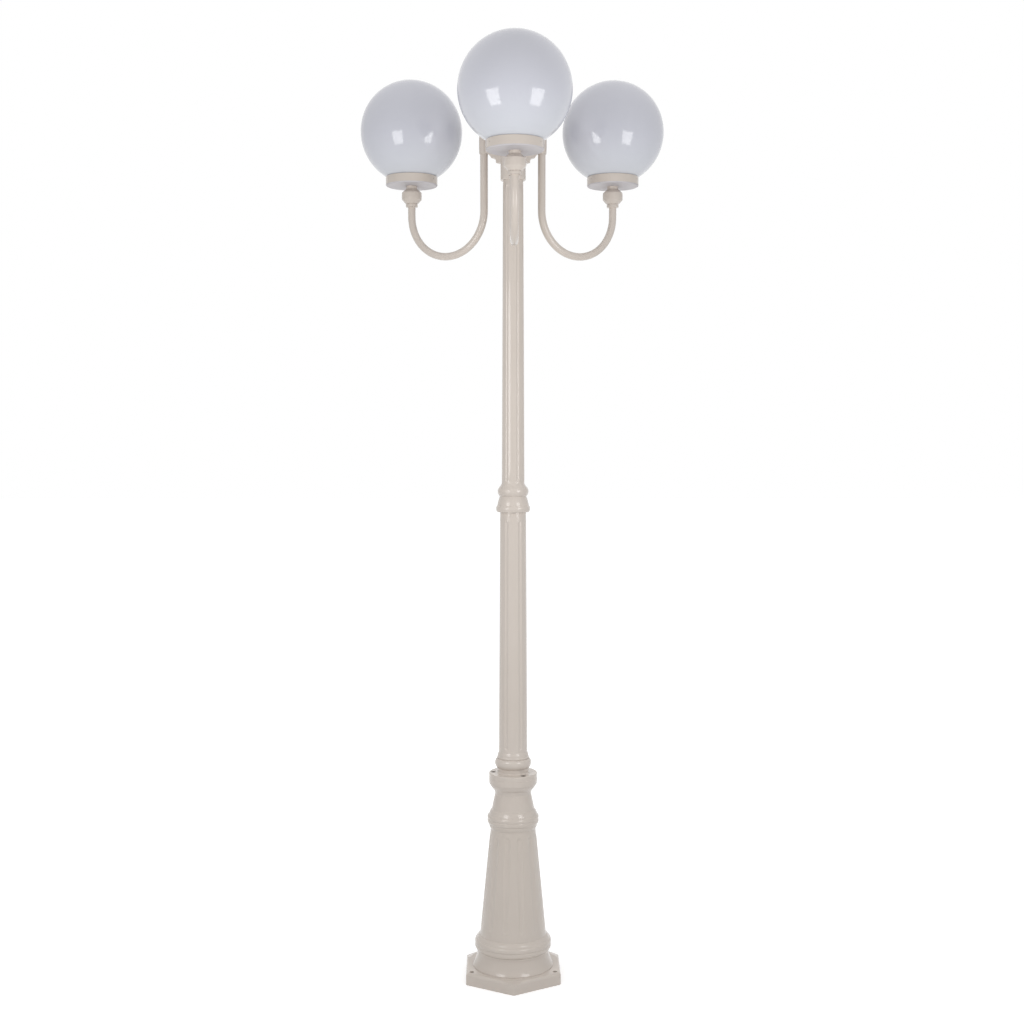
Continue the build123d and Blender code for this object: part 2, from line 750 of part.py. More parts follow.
# ---------------------------------------------------------------- three-arm bracket
with BuildPart() as bracket:
    with BuildSketch(Plane.XZ):
        with BuildLine():
            Polyline(
                (0, upper_pole_top_height),
                (hub_radius - hub_edge, upper_pole_top_height),
                (hub_radius, upper_pole_top_height + hub_edge),
                (hub_radius, hub_top_height - hub_edge),
                (hub_radius - hub_edge, hub_top_height),
                (0, hub_top_height),
                close=True,
            )
        make_face()
    revolve(axis=Axis.Z)
    for turn in head_turns.values():
        with BuildSketch(radial_section(turn)):
            with BuildLine():
                Polyline(
                    (boss_reach, hub_top_height),
                    (web_root_radius, hub_top_height),
                    (web_root_radius, corbel_low_height),
                    (corbel_low_reach, corbel_low_height),
                )
                bulge(
                    (corbel_low_reach, corbel_low_height),
                    (corbel_mid_start, corbel_mid_height),
                    -corbel_hollow,
                )
                Line((corbel_mid_start, corbel_mid_height), (corbel_mid_reach, corbel_mid_height))
                bulge(
                    (corbel_mid_reach, corbel_mid_height),
                    (boss_reach - boss_radius, boss_bottom_height + boss_edge),
                    -corbel_hollow,
                )
                Polyline(
                    (boss_reach - boss_radius, boss_bottom_height + boss_edge),
                    (boss_reach, boss_bottom_height + boss_edge),
                    (boss_reach, hub_top_height),
                )
            make_face()
        extrude(amount=web_width / 2, both=True)
        with BuildSketch(radial_section(turn, boss_reach)):
            with BuildLine():
                Polyline(
                    (0, boss_top_height),
                    (0, boss_bottom_height),
                    (boss_radius - boss_edge, boss_bottom_height),
                    (boss_radius, boss_bottom_height + boss_edge),
                )
                bulge(
                    (boss_radius, boss_bottom_height + boss_edge),
                    (boss_radius, boss_top_height - 2 * boss_edge),
                    boss_bulge,
                )
                bulge((boss_radius, boss_top_height - 2 * boss_edge), (0, boss_top_height), boss_bulge)
            make_face()
        revolve(axis=upright(turn, boss_reach))
    with BuildSketch(Plane.XZ):
        with BuildLine():
            Polyline(
                (0, upper_pole_top_height),
                (spigot_radius + slip_fit, upper_pole_top_height),
                (spigot_radius + slip_fit, spigot_top_height),
                (hub_bore_radius, spigot_top_height),
                (hub_bore_radius, hub_top_height),
                (0, hub_top_height),
                close=True,
            )
        make_face()
    revolve(axis=Axis.Z, mode=Mode.SUBTRACT)
    for turn in head_turns.values():
        with BuildSketch(level_plane(turn, boss_reach, boss_bottom_height)):
            Circle(arm_tube_radius + slip_fit)
        extrude(amount=arm_tube_inner_end - boss_bottom_height, mode=Mode.SUBTRACT)
        with BuildSketch(level_plane(turn, boss_reach, arm_tube_inner_end)):
            Circle(wire_pocket_radius)
        extrude(amount=wire_pocket_top_height - arm_tube_inner_end, mode=Mode.SUBTRACT)
        with BuildSketch(drill_plane(Vector(0, 0, wire_way_height), turn, boss_reach)):
            Circle(wire_way_radius)
        extrude(amount=boss_reach, mode=Mode.SUBTRACT)
        boss_axis = around(turn, boss_reach, arm_screw_height)
        with BuildSketch(drill_plane(boss_axis, turn, boss_radius + 2 * boss_bulge)):
            Circle(arm_screw_radius + thread_fit)
        extrude(amount=boss_radius + 2 * boss_bulge - arm_tube_radius + arm_tube_wall, mode=Mode.SUBTRACT)
    for turn in hub_screw_turns:
        with BuildSketch(drill_plane(Vector(0, 0, hub_screw_height), turn, hub_radius)):
            Circle(hub_screw_radius + thread_fit)
        extrude(amount=hub_radius - spigot_radius, mode=Mode.SUBTRACT)
    for turn in cap_screw_turns:
        with BuildSketch(level_plane(turn, cap_screw_circle_radius, hub_top_height)):
            Circle(cap_screw_radius + thread_fit)
        extrude(amount=-cap_screw_length, mode=Mode.SUBTRACT)
save(bracket, "bracket")

with BuildPart() as hub_screws:
    for turn in hub_screw_turns:
        with BuildSketch(drill_plane(Vector(0, 0, hub_screw_height), turn, hub_radius - hub_screw_recess)):
            Circle(hub_screw_radius)
            RegularPolygon(hub_screw_key / 2, side_count=6, major_radius=False, mode=Mode.SUBTRACT)
        extrude(amount=hub_screw_key_depth)
        with BuildSketch(drill_plane(Vector(0, 0, hub_screw_height), turn, spigot_radius + slip_fit)):
            Circle(hub_screw_radius)
        extrude(amount=hub_screw_key_depth + hub_screw_recess + spigot_radius + slip_fit - hub_radius)
save(hub_screws, "hub_screws")

# ---------------------------------------------------------------- hub cap
with BuildPart() as hub_cap:
    with BuildSketch(Plane.XZ):
        with BuildLine():
            Polyline(
                (0, hub_top_height + cap_wall),
                (hub_bore_radius - cap_wall, hub_top_height + cap_wall),
                (hub_bore_radius - cap_wall, hub_top_height - cap_spigot_depth),
                (hub_bore_radius - slip_fit, hub_top_height - cap_spigot_depth),
                (hub_bore_radius - slip_fit, hub_top_height),
                (cap_radius, hub_top_height),
                (cap_radius, cap_rim_height),
            )
            SagittaArc((cap_radius, cap_rim_height), (0, cap_top_height), cap_dome_length / 4)
            Line((0, cap_top_height), (0, hub_top_height + cap_wall))
        make_face()
    revolve(axis=Axis.Z)
    for turn in cap_screw_turns:
        with BuildSketch(level_plane(turn, cap_screw_circle_radius, hub_top_height)):
            Circle(cap_screw_radius + slip_fit)
        extrude(amount=cap_top_height - hub_top_height, mode=Mode.SUBTRACT)
        with BuildSketch(level_plane(turn, cap_screw_circle_radius, cap_screw_seat_height)):
            Circle(cap_screw_head_radius + slip_fit)
        extrude(amount=cap_top_height - cap_screw_seat_height, mode=Mode.SUBTRACT)
save(hub_cap, "hub_cap")

with BuildPart() as hub_cap_screws:
    for turn in cap_screw_turns:
        with BuildSketch(level_plane(turn, cap_screw_circle_radius, cap_screw_seat_height)):
            Circle(cap_screw_head_radius)
        extrude(amount=cap_screw_head_height)
        with BuildSketch(level_plane(turn, cap_screw_circle_radius, cap_screw_seat_height)):
            Circle(cap_screw_radius)
        extrude(amount=-cap_screw_length)
        with BuildSketch(
            level_plane(turn, cap_screw_circle_radius, cap_screw_seat_height + cap_screw_head_height)
        ):
            Rectangle(3 * cap_screw_head_radius, cap_screw_slot)
        extrude(amount=-cap_screw_slot, mode=Mode.SUBTRACT)
save(hub_cap_screws, "hub_cap_screws")

# ---------------------------------------------------------------- arms
for side, turn in head_turns.items():
    arm_plane = radial_section(turn)
    arm_start = around(turn, boss_reach, arm_tube_inner_end)
    arm_drop = Plane(origin=arm_start, z_dir=(0, 0, -1))
    bend_radius = (head_reach - boss_reach) / 2
    with BuildPart() as arm_tube:
        with BuildLine(arm_plane):
            Line((boss_reach, arm_tube_inner_end), (boss_reach, arm_bend_height))
            ThreePointArc(
                (boss_reach, arm_bend_height),
                (boss_reach + bend_radius, arm_bend_height - bend_radius),
                (head_reach, arm_bend_height),
            )
            Line((head_reach, arm_bend_height), (head_reach, arm_tube_outer_end))
        with BuildSketch(arm_drop):
            Circle(arm_tube_radius)
            Circle(arm_tube_radius - arm_tube_wall, mode=Mode.SUBTRACT)
        sweep()
        boss_axis = around(turn, boss_reach, arm_screw_height)
        with BuildSketch(drill_plane(boss_axis, turn, arm_tube_radius + slip_fit)):
            Circle(arm_screw_radius + thread_fit)
        extrude(amount=2 * arm_tube_wall, mode=Mode.SUBTRACT)
    save(arm_tube, f"arm_tube_{side}")

with BuildPart() as arm_screws:
    for turn in head_turns.values():
        boss_axis = around(turn, boss_reach, arm_screw_height)
        with BuildSketch(drill_plane(boss_axis, turn, boss_radius - arm_screw_recess)):
            Circle(arm_screw_radius)
            RegularPolygon(arm_screw_key / 2, side_count=6, major_radius=False, mode=Mode.SUBTRACT)
        extrude(amount=arm_screw_key_depth)
        with BuildSketch(drill_plane(boss_axis, turn, arm_screw_tip_reach)):
            Circle(arm_screw_radius)
        extrude(amount=arm_screw_tip_reach + arm_screw_recess + arm_screw_key_depth - boss_radius)
save(arm_screws, "arm_screws")

# ---------------------------------------------------------------- heads
for side, turn in head_turns.items():
    section = radial_section(turn, head_reach)
    head_axis = upright(turn, head_reach)

    with BuildPart() as arm_joint:
        with BuildSketch(section):
            with BuildLine():
                Polyline(
                    (arm_tube_radius + slip_fit, joint_foot_height),
                    (joint_ring_radius, joint_foot_height),
                    (joint_ring_radius, joint_ring_height),
                    (joint_groove_radius, joint_ring_height),
                    (joint_groove_radius, joint_cone_height),
                    (joint_cone_radius, joint_cone_height),
                    (joint_knob_radius, joint_knob_low),
                )
                bulge(
                    (joint_knob_radius, joint_knob_low),
                    (joint_knob_radius, joint_knob_high),
                    joint_knob_bulge,
                )
                Polyline(
                    (joint_knob_radius, joint_knob_high),
                    (joint_top_radius, joint_top_height),
                    (nipple_radius + thread_fit, joint_top_height),
                    (nipple_radius + thread_fit, joint_pocket_height),
                    (joint_pocket_radius, joint_pocket_height),
                    (joint_pocket_radius, arm_tube_outer_end),
                    (arm_tube_radius + slip_fit, arm_tube_outer_end),
                    (arm_tube_radius + slip_fit, joint_foot_height),
                )
            make_face()
        revolve(axis=head_axis)
    save(arm_joint, f"arm_joint_{side}")

    with BuildPart() as head_neck:
        with BuildSketch(section):
            with BuildLine():
                Polyline(
                    (nipple_radius + slip_fit, joint_top_height),
                    (neck_flare_radius, joint_top_height),
                )
                bulge(
                    (neck_flare_radius, joint_top_height),
                    (neck_waist_radius, neck_waist_height),
                    -neck_flare_hollow,
                )
                Polyline(
                    (neck_waist_radius, neck_waist_height),
                    (neck_waist_radius, base_disc_bottom),
                    (nipple_radius + slip_fit, base_disc_bottom),
                    (nipple_radius + slip_fit, joint_top_height),
                )
            make_face()
        revolve(axis=head_axis)
    save(head_neck, f"head_neck_{side}")

    with BuildPart() as base_disc:
        with BuildSketch(section):
            with BuildLine():
                Line(
                    (nipple_radius + slip_fit, base_disc_bottom),
                    (base_disc_radius - base_disc_edge, base_disc_bottom),
                )
                bulge(
                    (base_disc_radius - base_disc_edge, base_disc_bottom),
                    (base_disc_radius, base_disc_bottom + base_disc_edge),
                    base_disc_edge / 4,
                )
                Polyline(
                    (base_disc_radius, base_disc_bottom + base_disc_edge),
                    (base_disc_radius, base_disc_top),
                    (nipple_radius + slip_fit, base_disc_top),
                    (nipple_radius + slip_fit, base_disc_bottom),
                )
            make_face()
        revolve(axis=head_axis)
    save(base_disc, f"base_disc_{side}")

    with BuildPart() as gallery:
        with BuildSketch(section):
            with BuildLine():
                Polyline(
                    (nipple_radius + slip_fit, base_disc_top),
                    (gallery_radius, base_disc_top),
                    (gallery_radius, gallery_top_height - gallery_lip),
                    (gallery_radius - gallery_lip, gallery_top_height),
                    (gallery_inner_radius + gallery_seat_width, gallery_top_height),
                    (gallery_inner_radius, gallery_top_height - gallery_seat_width),
                    (gallery_inner_radius, gallery_floor_top),
                    (nipple_radius + slip_fit, gallery_floor_top),
                    close=True,
                )
            make_face()
        revolve(axis=head_axis)
        for screw_turn in globe_screw_turns:
            screw_axis = around(turn, head_reach, globe_screw_height)
            with BuildSketch(drill_plane(screw_axis, screw_turn, gallery_radius)):
                Circle(globe_screw_radius + thread_fit)
            extrude(amount=gallery_wall + gallery_lip, mode=Mode.SUBTRACT)
    save(gallery, f"gallery_{side}")

    with BuildPart() as gasket:
        with BuildSketch(level_plane(turn, head_reach, gallery_floor_top)):
            Circle(gasket_outer_radius)
            Circle(gasket_inner_radius, mode=Mode.SUBTRACT)
        extrude(amount=gasket_thickness)
    save(gasket, f"gasket_{side}")

    with BuildPart() as globe_screws:
        for screw_turn in globe_screw_turns:
            screw_axis = around(turn, head_reach, globe_screw_height)
            with BuildSketch(drill_plane(screw_axis, screw_turn, globe_screw_head)):
                Circle(globe_screw_radius)
                RegularPolygon(globe_screw_key / 2, side_count=6, major_radius=False, mode=Mode.SUBTRACT)
            extrude(amount=globe_screw_key_depth)
            with BuildSketch(drill_plane(screw_axis, screw_turn, globe_screw_head - globe_screw_key_depth)):
                Circle(globe_screw_radius)
            extrude(amount=globe_screw_head - globe_screw_key_depth - globe_screw_tip)
    save(globe_screws, f"globe_screws_{side}")

    with BuildPart() as nipple:
        with BuildSketch(level_plane(turn, head_reach, nipple_bottom)):
            Circle(nipple_radius)
            Circle(nipple_bore_radius, mode=Mode.SUBTRACT)
        extrude(amount=nipple_top - nipple_bottom)
    save(nipple, f"nipple_{side}")

    with BuildPart() as nipple_nut:
        with BuildSketch(level_plane(turn, head_reach, gallery_floor_top)):
            RegularPolygon(nut_across_flats / 2, side_count=6, major_radius=False)
            Circle(nipple_radius + thread_fit, mode=Mode.SUBTRACT)
        extrude(amount=nut_thickness)
    save(nipple_nut, f"nipple_nut_{side}")

    with BuildPart() as lampholder:
        with BuildSketch(section):
            with BuildLine():
                Polyline(
                    (nipple_radius + thread_fit, holder_foot_height),
                    (holder_foot_radius, holder_foot_height),
                    (holder_radius, holder_shoulder_height),
                    (holder_radius, holder_top_height - holder_edge),
                    (holder_radius - holder_edge, holder_top_height),
                    (shell_outer_radius + slip_fit, holder_top_height),
                    (shell_outer_radius + slip_fit, holder_floor_height),
                    (nipple_bore_radius, holder_floor_height),
                    (nipple_bore_radius, nipple_top),
                    (nipple_radius + thread_fit, nipple_top),
                    close=True,
                )
            make_face()
        revolve(axis=head_axis)
    save(lampholder, f"lampholder_{side}")

    with BuildPart() as holder_contacts:
        with BuildSketch(level_plane(turn, head_reach, holder_floor_height)):
            Circle(shell_outer_radius)
            Circle(shell_inner_radius, mode=Mode.SUBTRACT)
        extrude(amount=shell_length)
        with BuildSketch(level_plane(turn, head_reach, holder_floor_height)):
            Circle(contact_radius)
        extrude(amount=contact_thickness)
    save(holder_contacts, f"holder_contacts_{side}")

    with BuildPart() as lamp_cap:
        with BuildSketch(section):
            with BuildLine():
                Polyline(
                    (0, lamp_foot_height),
                    (lamp_button_radius, lamp_foot_height),
                    (lamp_button_radius + lamp_button_length, lamp_shoulder),
                    (lamp_cap_radius - lamp_button_length, lamp_shoulder),
                    (lamp_cap_radius, lamp_shoulder + lamp_button_length),
                    (lamp_cap_radius, lamp_cap_top),
                    (0, lamp_cap_top),
                    close=True,
                )
            make_face()
        revolve(axis=head_axis)
    save(lamp_cap, f"lamp_cap_{side}")

    with BuildPart() as lamp_glass:
        with BuildSketch(section):
            with BuildLine():
                Spline(
                    (lamp_neck_radius, lamp_cap_top),
                    (lamp_bulb_radius, lamp_bulb_centre),
                    tangents=((0, 1), (0, 1)),
                )
                RadiusArc(
                    (lamp_bulb_radius, lamp_bulb_centre),
                    (0, lamp_bulb_centre + lamp_bulb_radius),
                    -lamp_bulb_radius,
                )
                Line(
                    (0, lamp_bulb_centre + lamp_bulb_radius),
                    (0, lamp_bulb_centre + lamp_bulb_radius - lamp_glass_wall),
                )
                RadiusArc(
                    (0, lamp_bulb_centre + lamp_bulb_radius - lamp_glass_wall),
                    (lamp_bulb_radius - lamp_glass_wall, lamp_bulb_centre),
                    lamp_bulb_radius - lamp_glass_wall,
                )
                Spline(
                    (lamp_bulb_radius - lamp_glass_wall, lamp_bulb_centre),
                    (lamp_neck_radius - lamp_glass_wall, lamp_cap_top),
                    tangents=((0, -1), (0, -1)),
                )
                Line((lamp_neck_radius - lamp_glass_wall, lamp_cap_top), (lamp_neck_radius, lamp_cap_top))
            make_face()
        revolve(axis=head_axis)
    save(lamp_glass, f"lamp_glass_{side}")

    with BuildPart() as globe:
        with BuildSketch(section):
            with BuildLine():
                Line((globe_neck_radius, gasket_top), (globe_neck_radius, globe_shoulder))
                ThreePointArc(
                    (globe_neck_radius, globe_shoulder),
                    (globe_radius, globe_centre_height),
                    (0, globe_centre_height + globe_radius),
                )
                Line(
                    (0, globe_centre_height + globe_radius),
                    (0, globe_centre_height + globe_hollow_radius),
                )
                ThreePointArc(
                    (0, globe_centre_height + globe_hollow_radius),
                    (globe_hollow_radius, globe_centre_height),
                    (globe_bore_radius, globe_inner_shoulder),
                )
                Polyline(
                    (globe_bore_radius, globe_inner_shoulder),
                    (globe_bore_radius, gasket_top),
                    (globe_neck_radius, gasket_top),
                )
            make_face()
        revolve(axis=head_axis)
    save(globe, f"globe_{side}")
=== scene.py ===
"""A garden lamp post with three opal globes on swan-neck arms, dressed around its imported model.

Lengths are in metres, angles in degrees and light powers in watts, except where a comment says otherwise.
"""

import json
import math

import bpy
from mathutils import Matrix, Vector

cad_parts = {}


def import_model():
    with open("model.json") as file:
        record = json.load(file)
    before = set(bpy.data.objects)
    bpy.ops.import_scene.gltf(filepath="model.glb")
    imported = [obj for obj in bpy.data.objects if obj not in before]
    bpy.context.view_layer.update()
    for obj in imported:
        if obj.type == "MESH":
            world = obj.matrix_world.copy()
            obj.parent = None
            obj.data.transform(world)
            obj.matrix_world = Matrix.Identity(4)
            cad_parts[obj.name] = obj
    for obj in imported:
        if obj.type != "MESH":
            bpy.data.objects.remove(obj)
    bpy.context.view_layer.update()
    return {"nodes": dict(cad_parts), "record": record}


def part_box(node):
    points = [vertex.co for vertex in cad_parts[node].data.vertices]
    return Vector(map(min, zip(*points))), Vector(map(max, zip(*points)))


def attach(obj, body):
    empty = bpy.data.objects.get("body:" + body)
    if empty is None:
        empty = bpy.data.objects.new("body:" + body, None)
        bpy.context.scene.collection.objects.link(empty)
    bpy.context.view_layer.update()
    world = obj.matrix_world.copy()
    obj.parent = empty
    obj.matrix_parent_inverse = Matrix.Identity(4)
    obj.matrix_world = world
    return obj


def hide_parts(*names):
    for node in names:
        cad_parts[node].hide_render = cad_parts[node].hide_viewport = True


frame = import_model()

# ---------------------------------------------------------------- camera, fitted to the photo
# The sensor is in millimetres and the three angles are in radians.
IMAGE_SIDE = 1024
SENSOR_WIDTH = 36.0
FOCAL_PIXELS = 1378.5
CAMERA_DISTANCE = 3.9735
CAMERA_HEIGHT = 1.5846
CAMERA_ORBIT = 0.0137
CAMERA_TILT = -0.056
CAMERA_YAW = 0.0008
CAMERA_NEAR = 0.05
CAMERA_FAR = 100.0

# ---------------------------------------------------------------- studio
WHITE = (1.0, 1.0, 1.0, 1.0)
WORLD_COLOUR = (0.985, 0.99, 1.0, 1.0)
WORLD_LEVEL = 0.45
FLOOR_HALF = 30.0
FLOOR_GLOW_NEAR = 0.36
FLOOR_GLOW_FAR = 0.66
FLOOR_GLOW_START = 1.2
FLOOR_GLOW_END = 2.8
SOFTBOX_ANGLE = 38.7
SOFTBOX_DISTANCE = 1.885
SOFTBOX_HEIGHT = 1.74
SOFTBOX_WIDTH = 0.76
SOFTBOX_TALL = 1.0
SOFTBOX_POWER = 12.6
BACK_ANGLE = 180.0
BACK_DISTANCE = 3.2
BACK_HEIGHT = 1.7
BACK_SIDE = 2.4
BACK_POWER = 36.0
TOP_HEIGHT = 5.0
TOP_SIDE = 2.6
TOP_POWER = 30.0

# ---------------------------------------------------------------- finishes
NOISE_LOW = 0.35
NOISE_HIGH = 0.65
SCREW_SHADE = 0.86
GLOBE_CLOUD = 0.10

# ---------------------------------------------------------------- screw caps of the lamps
# A share is a share of the cap's own radius. The thread fades in and out over one part in THREAD_FADE of
# its length, and the last three names number the materials of the mesh.
SIDES = ("front", "left", "right")
CAP_COLUMNS = 72
CAP_EDGE = 0.0004
CAP_SHARP_ANGLE = 50
CONTACT_TIP_RADIUS = 0.0006
CONTACT_FLAT_RADIUS = 0.0036
CONTACT_RADIUS = 0.0045
INSULATOR_FOOT_HEIGHT = 0.0007
INSULATOR_FOOT_RADIUS = 0.0047
INSULATOR_TOP_HEIGHT = 0.002
INSULATOR_TOP_SHARE = 0.55
SHELL_FOOT_SHARE = 0.8
SHELL_SHOULDER_HEIGHT = 0.004
SHELL_SHOULDER_SHARE = 0.93
THREAD_FOOT_GAP = 0.0006
THREAD_TOP_GAP = 0.0055
THREAD_PITCH = 0.0036
THREAD_DEPTH = 0.0009
THREAD_ROW_STEP = 0.0003
THREAD_FADE = 8
GROOVE_START = 0.001
GROOVE_END = 0.0022
GROOVE_SHARE = 0.965
RIM_START = 0.0028
RIM_EDGE_SHARE = 0.97
SHELL, CONTACT, INSULATOR = range(3)

# ---------------------------------------------------------------- twin beads of the pedestal's two rings
# Low, high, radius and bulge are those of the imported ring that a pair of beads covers. Half the turn of
# each bead's arc is its half_turn.
BEAD_COLUMNS = 160
BEAD_ROWS = 12
BEAD_SUNK = 0.0015
BEAD_LIFT = 0.00005
BEAD_SHARP_ANGLE = 40
FOOT_BEADS = {"low": 0.083, "high": 0.1155, "radius": 0.1055, "bulge": 0.0042, "half_turn": 45.5}
NECK_BEADS = {"low": 0.4535, "high": 0.481, "radius": 0.0708, "bulge": 0.0033, "half_turn": 39.5}


# ---------------------------------------------------------------- material helpers
class Look:
    """A new material, with short calls for the nodes that the finishes share."""

    def __init__(self, name):
        self.material = bpy.data.materials.new(name)
        self.material.use_nodes = True
        self.tree = self.material.node_tree
        self.shader = self.tree.nodes["Principled BSDF"]
        self.place = self.add("ShaderNodeTexCoord").outputs["Object"]

    def add(self, kind, **settings):
        node = self.tree.nodes.new(kind)
        for key, value in settings.items():
            setattr(node, key, value)
        return node

    def link(self, source, target):
        self.tree.links.new(source, target)

    def noise(self, scale, detail=3.0, roughness=0.5):
        """Noise over the object's own coordinates, its features about 1 / scale metres wide."""
        node = self.add("ShaderNodeTexNoise")
        node.inputs["Scale"].default_value = scale
        node.inputs["Detail"].default_value = detail
        node.inputs["Roughness"].default_value = roughness
        self.link(self.place, node.inputs["Vector"])
        return node.outputs["Fac"]

    def spread(self, source, low, high, low_in=NOISE_LOW, high_in=NOISE_HIGH):
        """The source's run from low_in to high_in, stretched to the run from low to high."""
        node = self.add("ShaderNodeMapRange")
        node.inputs["From Min"].default_value = low_in
        node.inputs["From Max"].default_value = high_in
        node.inputs["To Min"].default_value = low
        node.inputs["To Max"].default_value = high
        self.link(source, node.inputs["Value"])
        return node.outputs["Result"]

    def colour(self, source, stops):
        """Base colour along the source, from stops of (position, colour)."""
        node = self.add("ShaderNodeValToRGB")
        line = node.color_ramp
        while len(line.elements) < len(stops):
            line.elements.new(0.5)
        for element, (position, colour) in zip(line.elements, stops):
            element.position = position
            element.color = (*colour, 1.0)
        self.link(source, node.inputs["Fac"])
        self.link(node.outputs["Color"], self.shader.inputs["Base Color"])

    def rough(self, source, low, high):
        """Roughness that runs from low to high along a noise."""
        self.link(self.spread(source, low, high), self.shader.inputs["Roughness"])

    def bump(self, height, distance, strength, below=None):
        """Bump by a height, over the bump below where there is one. The shader takes the last one made."""
        node = self.add("ShaderNodeBump")
        node.inputs["Strength"].default_value = strength
        node.inputs["Distance"].default_value = distance
        self.link(height, node.inputs["Height"])
        if below is not None:
            self.link(below, node.inputs["Normal"])
        self.link(node.outputs["Normal"], self.shader.inputs["Normal"])
        return node.outputs["Normal"]

    def set(self, **values):
        """Fixed shader values, such as coat_weight for the input Coat Weight."""
        for key, value in values.items():
            title = key.replace("_", " ").title().replace("Ior", "IOR")
            self.shader.inputs[title].default_value = value


def shade(level):
    """A screen level from 0 to 255 as linear light, by the sRGB curve."""
    part = level / 255.0
    return part / 12.92 if part <= 0.04045 else ((part + 0.055) / 1.055) ** 2.4


def screen(red, green, blue):
    return (shade(red), shade(green), shade(blue))


def tones(first, second, margin=0.2):
    """Two colour stops, each a margin away from the middle of a noise."""
    return [(0.5 - margin, first), (0.5 + margin, second)]


def seen_directly(tree):
    """Socket that is 1 where the camera, a reflection or a refraction looks, and 0 for other light."""
    path = tree.nodes.new("ShaderNodeLightPath")
    seen = path.outputs["Is Camera Ray"]
    for ray in ("Is Glossy Ray", "Is Transmission Ray"):
        either = tree.nodes.new("ShaderNodeMath")
        either.operation = "MAXIMUM"
        tree.links.new(seen, either.inputs[0])
        tree.links.new(path.outputs[ray], either.inputs[1])
        seen = either.outputs[0]
    return seen


# ---------------------------------------------------------------- finishes of the parts
def cream_paint(name, brightness=1.0):
    """Glossy cream powder coat: fine orange peel, slow waves and a faint drift of tone."""
    look = Look(name)
    light = tuple(brightness * level for level in screen(211, 201, 192))
    deep = tuple(brightness * level for level in screen(207, 197, 187))
    look.colour(look.noise(scale=3.5), tones(deep, light, margin=0.18))
    look.rough(look.noise(scale=24.0), 0.13, 0.17)
    waves = look.bump(look.noise(scale=16.0, detail=1.0, roughness=0.4), distance=0.0003, strength=0.06)
    peel = look.noise(scale=520.0, detail=2.0, roughness=0.4)
    look.bump(peel, distance=0.00004, strength=0.2, below=waves)
    look.set(coat_weight=0.25, coat_roughness=0.06, specular_ior_level=0.3)
    return look.material


def opal():
    """Moulded opal globe: cool milky white and very slightly uneven, with painted shade that makes it a
    shade greyer towards the crown and painted bounce light that lightens the foot.
    """
    look = Look("opal_acrylic")
    low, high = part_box("globe_left")
    place = look.add("ShaderNodeSeparateXYZ")
    look.link(look.place, place.inputs["Vector"])
    rise = look.spread(place.outputs["Z"], 0.0, 1.0, low.z, high.z)
    cloud_and_painted_shade = look.add("ShaderNodeMath", operation="MULTIPLY_ADD")
    look.link(look.noise(scale=7.0), cloud_and_painted_shade.inputs[0])
    cloud_and_painted_shade.inputs[1].default_value = GLOBE_CLOUD
    look.link(rise, cloud_and_painted_shade.inputs[2])
    # Painted bounce light makes the foot lighter and painted shade makes the crown greyer; the noise adds
    # a faint random cloud.
    foot = (0.05, screen(209, 212, 218))
    middle = (0.45, screen(208, 209, 218))
    shaded_crown = (1.0, screen(206, 206, 214))
    look.colour(cloud_and_painted_shade.outputs[0], [foot, middle, shaded_crown])
    look.rough(look.noise(scale=60.0), 0.09, 0.12)
    look.bump(look.noise(scale=9.0, detail=1.0), distance=0.0008, strength=0.06)
    return look.material


def white_disc():
    look = Look("satin_white_disc_painted_shade")
    # The grey-lilac tone is painted shade and painted reflection of the surroundings on the white
    # underside disc.
    look.colour(look.noise(scale=14.0), tones(screen(198, 194, 196), screen(204, 200, 202)))
    look.rough(look.noise(scale=90.0), 0.46, 0.55)
    look.bump(look.noise(scale=300.0, detail=2.0), distance=0.0002, strength=0.3)
    look.set(specular_ior_level=0.2)
    return look.material


def metal(name, light, dark, rough_low, rough_high):
    """Bare or plated metal with a fine grain and a patchy sheen."""
    look = Look(name)
    look.colour(look.noise(scale=45.0, detail=4.0), tones(dark, light))
    look.rough(look.noise(scale=160.0, detail=4.0, roughness=0.6), rough_low, rough_high)
    look.bump(look.noise(scale=480.0, detail=2.0), distance=0.0001, strength=0.4)
    look.set(metallic=1.0)
    return look.material


def rubber():
    look = Look("gasket_rubber")
    look.colour(look.noise(scale=60.0, detail=4.0), tones(screen(38, 38, 38), screen(52, 52, 52)))
    look.rough(look.noise(scale=120.0), 0.62, 0.78)
    look.bump(look.noise(scale=700.0, detail=2.0), distance=0.00015, strength=0.5)
    return look.material


def ceramic():
    look = Look("glazed_ceramic")
    look.colour(look.noise(scale=35.0), tones(screen(240, 238, 230), screen(247, 245, 239)))
    look.rough(look.noise(scale=70.0), 0.10, 0.18)
    look.bump(look.noise(scale=55.0, detail=2.0), distance=0.0006, strength=0.2)
    look.set(coat_weight=0.6, coat_roughness=0.05)
    return look.material


def frosted_glass():
    look = Look("frosted_lamp_glass")
    look.colour(look.noise(scale=30.0), tones(screen(242, 241, 236), screen(250, 249, 246)))
    look.rough(look.noise(scale=240.0), 0.30, 0.40)
    look.bump(look.noise(scale=900.0, detail=2.0), distance=0.00008, strength=0.5)
    look.set(subsurface_weight=0.15)
    return look.material


def insulator_glass():
    """The black glass between a lamp cap's shell and its contact."""
    look = Look("black_insulator_glass")
    look.colour(look.noise(scale=300.0), tones(screen(24, 24, 30), screen(34, 34, 42)))
    look.rough(look.noise(scale=500.0), 0.10, 0.2)
    look.bump(look.noise(scale=400.0, detail=2.0), distance=0.0001, strength=0.3)
    return look.material


